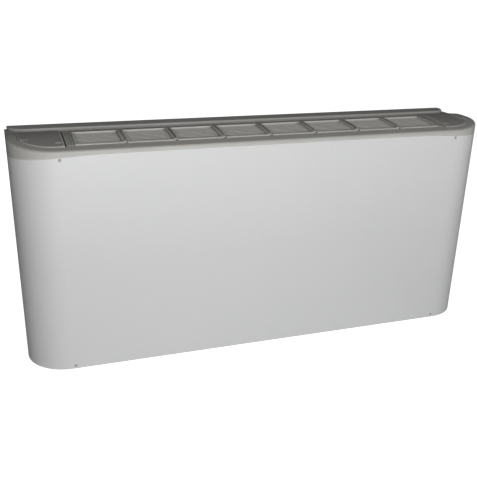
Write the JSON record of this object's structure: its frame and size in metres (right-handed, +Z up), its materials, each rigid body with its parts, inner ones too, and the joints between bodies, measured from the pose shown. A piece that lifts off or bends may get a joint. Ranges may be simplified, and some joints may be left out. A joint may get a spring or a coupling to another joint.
{
  "type": "fan convector heater",
  "caption": "Long low wall or floor fan convector: wrap-round sheet case, moulded top with louvre grilles and an access flap at each end, fans and water coil inside.",
  "frame": {"origin": "middle of the case foot print, on the floor", "axes": "+X along the case to the right seen from the room, +Y toward the wall, +Z up"},
  "size_m": [1.2, 0.24, 0.5461],
  "materials": {
    "white_paint": "semi-gloss powder coat",
    "cover_plastic": "fine-grain moulded plastic",
    "grille_plastic": "fine-grain moulded plastic",
    "flap_plastic": "fine-grain moulded plastic",
    "screw_steel": "dark zinc",
    "bright_steel": "ground",
    "galvanised": "hot dip galvanised",
    "spring_steel": "blued",
    "aluminium": "mill",
    "capacitor_can": "satin",
    "copper": "drawn copper tube",
    "brass": "machined",
    "vent_knob": "moulded",
    "tray_plastic": "moulded",
    "motor_paint": "satin black",
    "rubber": "matte",
    "filter_plastic": "moulded",
    "net": "woven net",
    "box_plastic": "moulded",
    "plate_plastic": "fine grain",
    "black_plastic": "moulded",
    "knob_plastic": "moulded",
    "rocker_plastic": "gloss"
  },
  "bodies": {
    "cabinet": {"back_plate": "galvanised", "bottom_rail": "galvanised", "cable_gland": "box_plastic", "capacitor": "capacitor_can", "chassis_screws": "screw_steel", "coil_tubes": "copper", "control_box": "box_plastic", "control_plate": "plate_plastic", "cover_screws": "screw_steel", "drip_tray": "tray_plastic", "duct_panel": "galvanised", "fan_deck": "galvanised", "fan_motor": "motor_paint", "filter_clips": "spring_steel", "fin_pack": "aluminium", "flow_header": "copper", "flow_union": "brass", "front_panel": "white_paint", "grille_1": "grille_plastic", "grille_2": "grille_plastic", "grille_3": "grille_plastic", "grille_4": "grille_plastic", "grille_5": "grille_plastic", "grille_6": "grille_plastic", "grille_7": "grille_plastic", "grille_8": "grille_plastic", "hinge_pins": "bright_steel", "left_coil_plate": "galvanised", "left_end_plate": "galvanised", "left_fan_housing": "galvanised", "link_bends": "copper", "motor_bracket": "galvanised", "motor_rings": "rubber", "panel_screws": "screw_steel", "return_bends": "copper", "return_header": "copper", "return_union": "brass", "right_coil_plate": "galvanised", "right_end_plate": "galvanised", "right_fan_housing": "galvanised", "season_frame": "black_plastic", "speed_body": "black_plastic", "terminal_block": "black_plastic", "thermostat_body": "black_plastic", "top_cover": "cover_plastic", "top_rail": "galvanised", "vent_body": "brass"},
    "left_lid": {"left_flap": "flap_plastic"},
    "right_lid": {"right_flap": "flap_plastic"},
    "fan_rotor": {"fan_shaft": "bright_steel", "left_impeller": "aluminium", "right_impeller": "aluminium"},
    "filter": {"filter_frame": "filter_plastic", "filter_mesh": "net"},
    "air_vent": {"vent_screw": "vent_knob"},
    "thermostat_dial": {"thermostat_knob": "knob_plastic", "thermostat_spindle": "bright_steel"},
    "speed_dial": {"speed_knob": "knob_plastic", "speed_spindle": "bright_steel"},
    "season_switch": {"season_rocker": "rocker_plastic"}
  },
  "joints": [
    {"name": "left_flap_hinge", "type": "hinge", "parent": "cabinet", "child": "left_lid", "pos_m": [-0.527, 0.05, 0.53484], "axis": [-1, 0, 0], "range_deg": [0, 90]},
    {"name": "right_flap_hinge", "type": "hinge", "parent": "cabinet", "child": "right_lid", "pos_m": [0.527, 0.05, 0.53484], "axis": [-1, 0, 0], "range_deg": [0, 90]},
    {"name": "fan_spin", "type": "hinge", "parent": "cabinet", "child": "fan_rotor", "pos_m": [0, 0.01057, 0.1494], "axis": [-1, 0, 0], "continuous": true},
    {"name": "filter_pull", "type": "slide", "parent": "cabinet", "child": "filter", "axis": [0, 0, -1], "range_m": [0, 0.03]},
    {"name": "vent_turn", "type": "hinge", "parent": "cabinet", "child": "air_vent", "pos_m": [-0.476, -0.06283, 0.43097], "axis": [0, -0.5736, 0.8192], "range_deg": [0, 270]},
    {"name": "thermostat_turn", "type": "hinge", "parent": "cabinet", "child": "thermostat_dial", "pos_m": [0.521, -0.034, 0.508], "axis": [0, 0, -1], "range_deg": [0, 270]},
    {"name": "speed_turn", "type": "hinge", "parent": "cabinet", "child": "speed_dial", "pos_m": [0.521, 0.014, 0.508], "axis": [0, 0, -1], "range_deg": [0, 90]},
    {"name": "season_rock", "type": "hinge", "parent": "cabinet", "child": "season_switch", "pos_m": [0.559, 0.014, 0.503], "axis": [1, 0, 0], "range_deg": [0, 24]}
  ]
}
